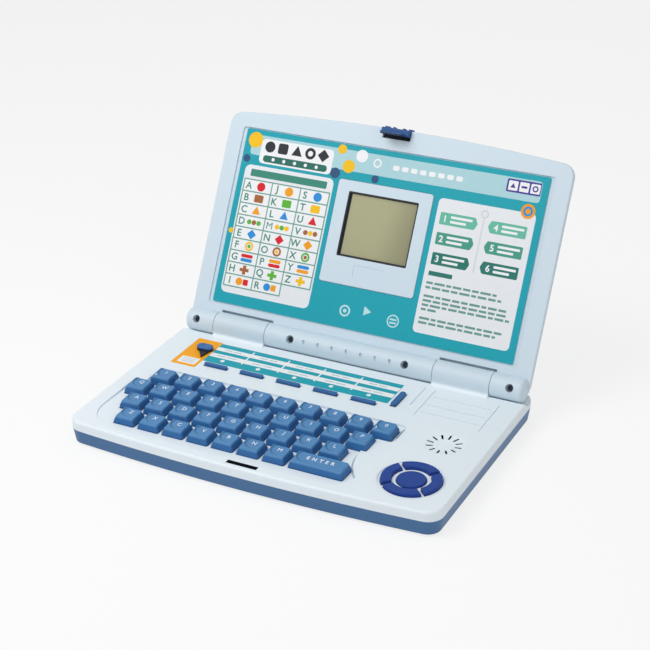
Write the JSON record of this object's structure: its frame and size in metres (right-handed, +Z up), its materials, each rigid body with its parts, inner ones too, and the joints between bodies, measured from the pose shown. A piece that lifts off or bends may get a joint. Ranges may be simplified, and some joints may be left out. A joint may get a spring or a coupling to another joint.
{
  "type": "toy laptop computer",
  "caption": "Toy laptop computer with a hinged picture lid and small display, letter keys, a round direction pad, mode buttons and a power slider on a shallow two-part base.",
  "frame": {"origin": "on the ground under the middle of the whole object's box, with the lid open as it rests", "axes": "+X to the right as the user sees the keys, +Y to the back, +Z up"},
  "size_m": [0.25, 0.2286, 0.1562],
  "materials": {
    "pale_shell": "pale ice-blue moulded plastic, fine satin grain",
    "pale_lid": "pale ice-blue moulded plastic, fine satin grain",
    "tray_blue": "mid-blue moulded plastic",
    "door_blue": "mid-blue moulded plastic",
    "key_blue": "mid-blue key caps with white legends",
    "pad_navy": "deep blue, semi-gloss",
    "mode_blue": "mid-blue bars",
    "slider_navy": "navy knob",
    "card_print": "printed card, teal ground",
    "display": "grey-green reflective display",
    "latch_blue": "dark blue latch",
    "board_green": "green circuit board",
    "mat_grey": "grey silicone sheet",
    "speaker_black": "black basket",
    "cell_case": "metal cell case",
    "contact_steel": "sprung steel strip",
    "screw_steel": "zinc-plated screw",
    "screw_dark": "dark plated screw"
  },
  "bodies": {
    "base": {"base_top_shell": "pale_shell", "base_bottom_tray": "tray_blue", "circuit_board": "board_green", "key_mat": "mat_grey", "speaker": "speaker_black", "battery_cells": "cell_case", "battery_contacts": "contact_steel", "base_screws": "screw_steel"},
    "lid": {"lid_front_frame": "pale_lid", "lid_back_cover": "pale_lid", "picture_card": "card_print", "lcd_module": "display", "lid_screws": "screw_dark"},
    "battery_door": {"battery_door": "door_blue"},
    "key_0": {"key_0": "key_blue"},
    "key_1": {"key_1": "key_blue"},
    "key_2": {"key_2": "key_blue"},
    "key_3": {"key_3": "key_blue"},
    "key_4": {"key_4": "key_blue"},
    "key_5": {"key_5": "key_blue"},
    "key_6": {"key_6": "key_blue"},
    "key_7": {"key_7": "key_blue"},
    "key_8": {"key_8": "key_blue"},
    "key_9": {"key_9": "key_blue"},
    "key_a": {"key_a": "key_blue"},
    "key_b": {"key_b": "key_blue"},
    "key_c": {"key_c": "key_blue"},
    "key_d": {"key_d": "key_blue"},
    "key_e": {"key_e": "key_blue"},
    "key_enter": {"key_enter": "key_blue"},
    "key_f": {"key_f": "key_blue"},
    "key_g": {"key_g": "key_blue"},
    "key_h": {"key_h": "key_blue"},
    "key_i": {"key_i": "key_blue"},
    "key_j": {"key_j": "key_blue"},
    "key_k": {"key_k": "key_blue"},
    "key_l": {"key_l": "key_blue"},
    "key_m": {"key_m": "key_blue"},
    "key_n": {"key_n": "key_blue"},
    "key_o": {"key_o": "key_blue"},
    "key_p": {"key_p": "key_blue"},
    "key_q": {"key_q": "key_blue"},
    "key_r": {"key_r": "key_blue"},
    "key_s": {"key_s": "key_blue"},
    "key_t": {"key_t": "key_blue"},
    "key_u": {"key_u": "key_blue"},
    "key_v": {"key_v": "key_blue"},
    "key_w": {"key_w": "key_blue"},
    "key_x": {"key_x": "key_blue"},
    "key_y": {"key_y": "key_blue"},
    "key_z": {"key_z": "key_blue"},
    "lid_latch": {"lid_latch": "latch_blue"},
    "mode_button_strip": {"mode_button_strip": "mode_blue"},
    "pad_centre": {"pad_centre": "pad_navy"},
    "pad_down": {"pad_down": "pad_navy"},
    "pad_left": {"pad_left": "pad_navy"},
    "pad_right": {"pad_right": "pad_navy"},
    "pad_up": {"pad_up": "pad_navy"},
    "power_slider": {"power_slider": "slider_navy"},
    "side_mode_button": {"side_mode_button": "mode_blue"}
  },
  "joints": [
    {"name": "lid_hinge", "type": "hinge", "parent": "base", "child": "lid", "pos_m": [0, 0.03672, 0.0227], "axis": [1, 0, 0], "range_deg": [-12, 118.25]},
    {"name": "key_0_press", "type": "slide", "parent": "base", "child": "key_0", "axis": [0, 0, -1], "range_m": [0, 0.0018], "stiffness_N_per_m": 250},
    {"name": "key_1_press", "type": "slide", "parent": "base", "child": "key_1", "axis": [0, 0, -1], "range_m": [0, 0.0018], "stiffness_N_per_m": 250},
    {"name": "key_2_press", "type": "slide", "parent": "base", "child": "key_2", "axis": [0, 0, -1], "range_m": [0, 0.0018], "stiffness_N_per_m": 250},
    {"name": "key_3_press", "type": "slide", "parent": "base", "child": "key_3", "axis": [0, 0, -1], "range_m": [0, 0.0018], "stiffness_N_per_m": 250},
    {"name": "key_4_press", "type": "slide", "parent": "base", "child": "key_4", "axis": [0, 0, -1], "range_m": [0, 0.0018], "stiffness_N_per_m": 250},
    {"name": "key_5_press", "type": "slide", "parent": "base", "child": "key_5", "axis": [0, 0, -1], "range_m": [0, 0.0018], "stiffness_N_per_m": 250},
    {"name": "key_6_press", "type": "slide", "parent": "base", "child": "key_6", "axis": [0, 0, -1], "range_m": [0, 0.0018], "stiffness_N_per_m": 250},
    {"name": "key_7_press", "type": "slide", "parent": "base", "child": "key_7", "axis": [0, 0, -1], "range_m": [0, 0.0018], "stiffness_N_per_m": 250},
    {"name": "key_8_press", "type": "slide", "parent": "base", "child": "key_8", "axis": [0, 0, -1], "range_m": [0, 0.0018], "stiffness_N_per_m": 250},
    {"name": "key_9_press", "type": "slide", "parent": "base", "child": "key_9", "axis": [0, 0, -1], "range_m": [0, 0.0018], "stiffness_N_per_m": 250},
    {"name": "key_a_press", "type": "slide", "parent": "base", "child": "key_a", "axis": [0, 0, -1], "range_m": [0, 0.0018], "stiffness_N_per_m": 250},
    {"name": "key_b_press", "type": "slide", "parent": "base", "child": "key_b", "axis": [0, 0, -1], "range_m": [0, 0.0018], "stiffness_N_per_m": 250},
    {"name": "key_c_press", "type": "slide", "parent": "base", "child": "key_c", "axis": [0, 0, -1], "range_m": [0, 0.0018], "stiffness_N_per_m": 250},
    {"name": "key_d_press", "type": "slide", "parent": "base", "child": "key_d", "axis": [0, 0, -1], "range_m": [0, 0.0018], "stiffness_N_per_m": 250},
    {"name": "key_e_press", "type": "slide", "parent": "base", "child": "key_e", "axis": [0, 0, -1], "range_m": [0, 0.0018], "stiffness_N_per_m": 250},
    {"name": "key_enter_press", "type": "slide", "parent": "base", "child": "key_enter", "axis": [0, 0, -1], "range_m": [0, 0.0018], "stiffness_N_per_m": 250},
    {"name": "key_f_press", "type": "slide", "parent": "base", "child": "key_f", "axis": [0, 0, -1], "range_m": [0, 0.0018], "stiffness_N_per_m": 250},
    {"name": "key_g_press", "type": "slide", "parent": "base", "child": "key_g", "axis": [0, 0, -1], "range_m": [0, 0.0018], "stiffness_N_per_m": 250},
    {"name": "key_h_press", "type": "slide", "parent": "base", "child": "key_h", "axis": [0, 0, -1], "range_m": [0, 0.0018], "stiffness_N_per_m": 250},
    {"name": "key_i_press", "type": "slide", "parent": "base", "child": "key_i", "axis": [0, 0, -1], "range_m": [0, 0.0018], "stiffness_N_per_m": 250},
    {"name": "key_j_press", "type": "slide", "parent": "base", "child": "key_j", "axis": [0, 0, -1], "range_m": [0, 0.0018], "stiffness_N_per_m": 250},
    {"name": "key_k_press", "type": "slide", "parent": "base", "child": "key_k", "axis": [0, 0, -1], "range_m": [0, 0.0018], "stiffness_N_per_m": 250},
    {"name": "key_l_press", "type": "slide", "parent": "base", "child": "key_l", "axis": [0, 0, -1], "range_m": [0, 0.0018], "stiffness_N_per_m": 250},
    {"name": "key_m_press", "type": "slide", "parent": "base", "child": "key_m", "axis": [0, 0, -1], "range_m": [0, 0.0018], "stiffness_N_per_m": 250},
    {"name": "key_n_press", "type": "slide", "parent": "base", "child": "key_n", "axis": [0, 0, -1], "range_m": [0, 0.0018], "stiffness_N_per_m": 250},
    {"name": "key_o_press", "type": "slide", "parent": "base", "child": "key_o", "axis": [0, 0, -1], "range_m": [0, 0.0018], "stiffness_N_per_m": 250},
    {"name": "key_p_press", "type": "slide", "parent": "base", "child": "key_p", "axis": [0, 0, -1], "range_m": [0, 0.0018], "stiffness_N_per_m": 250},
    {"name": "key_q_press", "type": "slide", "parent": "base", "child": "key_q", "axis": [0, 0, -1], "range_m": [0, 0.0018], "stiffness_N_per_m": 250},
    {"name": "key_r_press", "type": "slide", "parent": "base", "child": "key_r", "axis": [0, 0, -1], "range_m": [0, 0.0018], "stiffness_N_per_m": 250},
    {"name": "key_s_press", "type": "slide", "parent": "base", "child": "key_s", "axis": [0, 0, -1], "range_m": [0, 0.0018], "stiffness_N_per_m": 250},
    {"name": "key_t_press", "type": "slide", "parent": "base", "child": "key_t", "axis": [0, 0, -1], "range_m": [0, 0.0018], "stiffness_N_per_m": 250},
    {"name": "key_u_press", "type": "slide", "parent": "base", "child": "key_u", "axis": [0, 0, -1], "range_m": [0, 0.0018], "stiffness_N_per_m": 250},
    {"name": "key_v_press", "type": "slide", "parent": "base", "child": "key_v", "axis": [0, 0, -1], "range_m": [0, 0.0018], "stiffness_N_per_m": 250},
    {"name": "key_w_press", "type": "slide", "parent": "base", "child": "key_w", "axis": [0, 0, -1], "range_m": [0, 0.0018], "stiffness_N_per_m": 250},
    {"name": "key_x_press", "type": "slide", "parent": "base", "child": "key_x", "axis": [0, 0, -1], "range_m": [0, 0.0018], "stiffness_N_per_m": 250},
    {"name": "key_y_press", "type": "slide", "parent": "base", "child": "key_y", "axis": [0, 0, -1], "range_m": [0, 0.0018], "stiffness_N_per_m": 250},
    {"name": "key_z_press", "type": "slide", "parent": "base", "child": "key_z", "axis": [0, 0, -1], "range_m": [0, 0.0018], "stiffness_N_per_m": 250},
    {"name": "pad_centre_press", "type": "slide", "parent": "base", "child": "pad_centre", "axis": [0, 0, -1], "range_m": [0, 0.0015], "stiffness_N_per_m": 300},
    {"name": "pad_down_press", "type": "slide", "parent": "base", "child": "pad_down", "axis": [0, 0, -1], "range_m": [0, 0.0015], "stiffness_N_per_m": 300},
    {"name": "pad_left_press", "type": "slide", "parent": "base", "child": "pad_left", "axis": [0, 0, -1], "range_m": [0, 0.0015], "stiffness_N_per_m": 300},
    {"name": "pad_right_press", "type": "slide", "parent": "base", "child": "pad_right", "axis": [0, 0, -1], "range_m": [0, 0.0015], "stiffness_N_per_m": 300},
    {"name": "pad_up_press", "type": "slide", "parent": "base", "child": "pad_up", "axis": [0, 0, -1], "range_m": [0, 0.0015], "stiffness_N_per_m": 300},
    {"name": "mode_button_strip_press", "type": "slide", "parent": "base", "child": "mode_button_strip", "axis": [0, 0, -1], "range_m": [0, 0.001], "stiffness_N_per_m": 300},
    {"name": "side_mode_button_press", "type": "slide", "parent": "base", "child": "side_mode_button", "axis": [0, 0, -1], "range_m": [0, 0.001], "stiffness_N_per_m": 300},
    {"name": "power_slider_move", "type": "slide", "parent": "base", "child": "power_slider", "axis": [-1, 0, 0], "range_m": [0, 0.003]},
    {"name": "lid_latch_slide", "type": "slide", "parent": "lid", "child": "lid_latch", "axis": [0, 0.4733, 0.8809], "range_m": [0, 0.001], "stiffness_N_per_m": 200},
    {"name": "battery_door_slide", "type": "slide", "parent": "base", "child": "battery_door", "axis": [0, 1, 0], "range_m": [0, 0.015]}
  ]
}
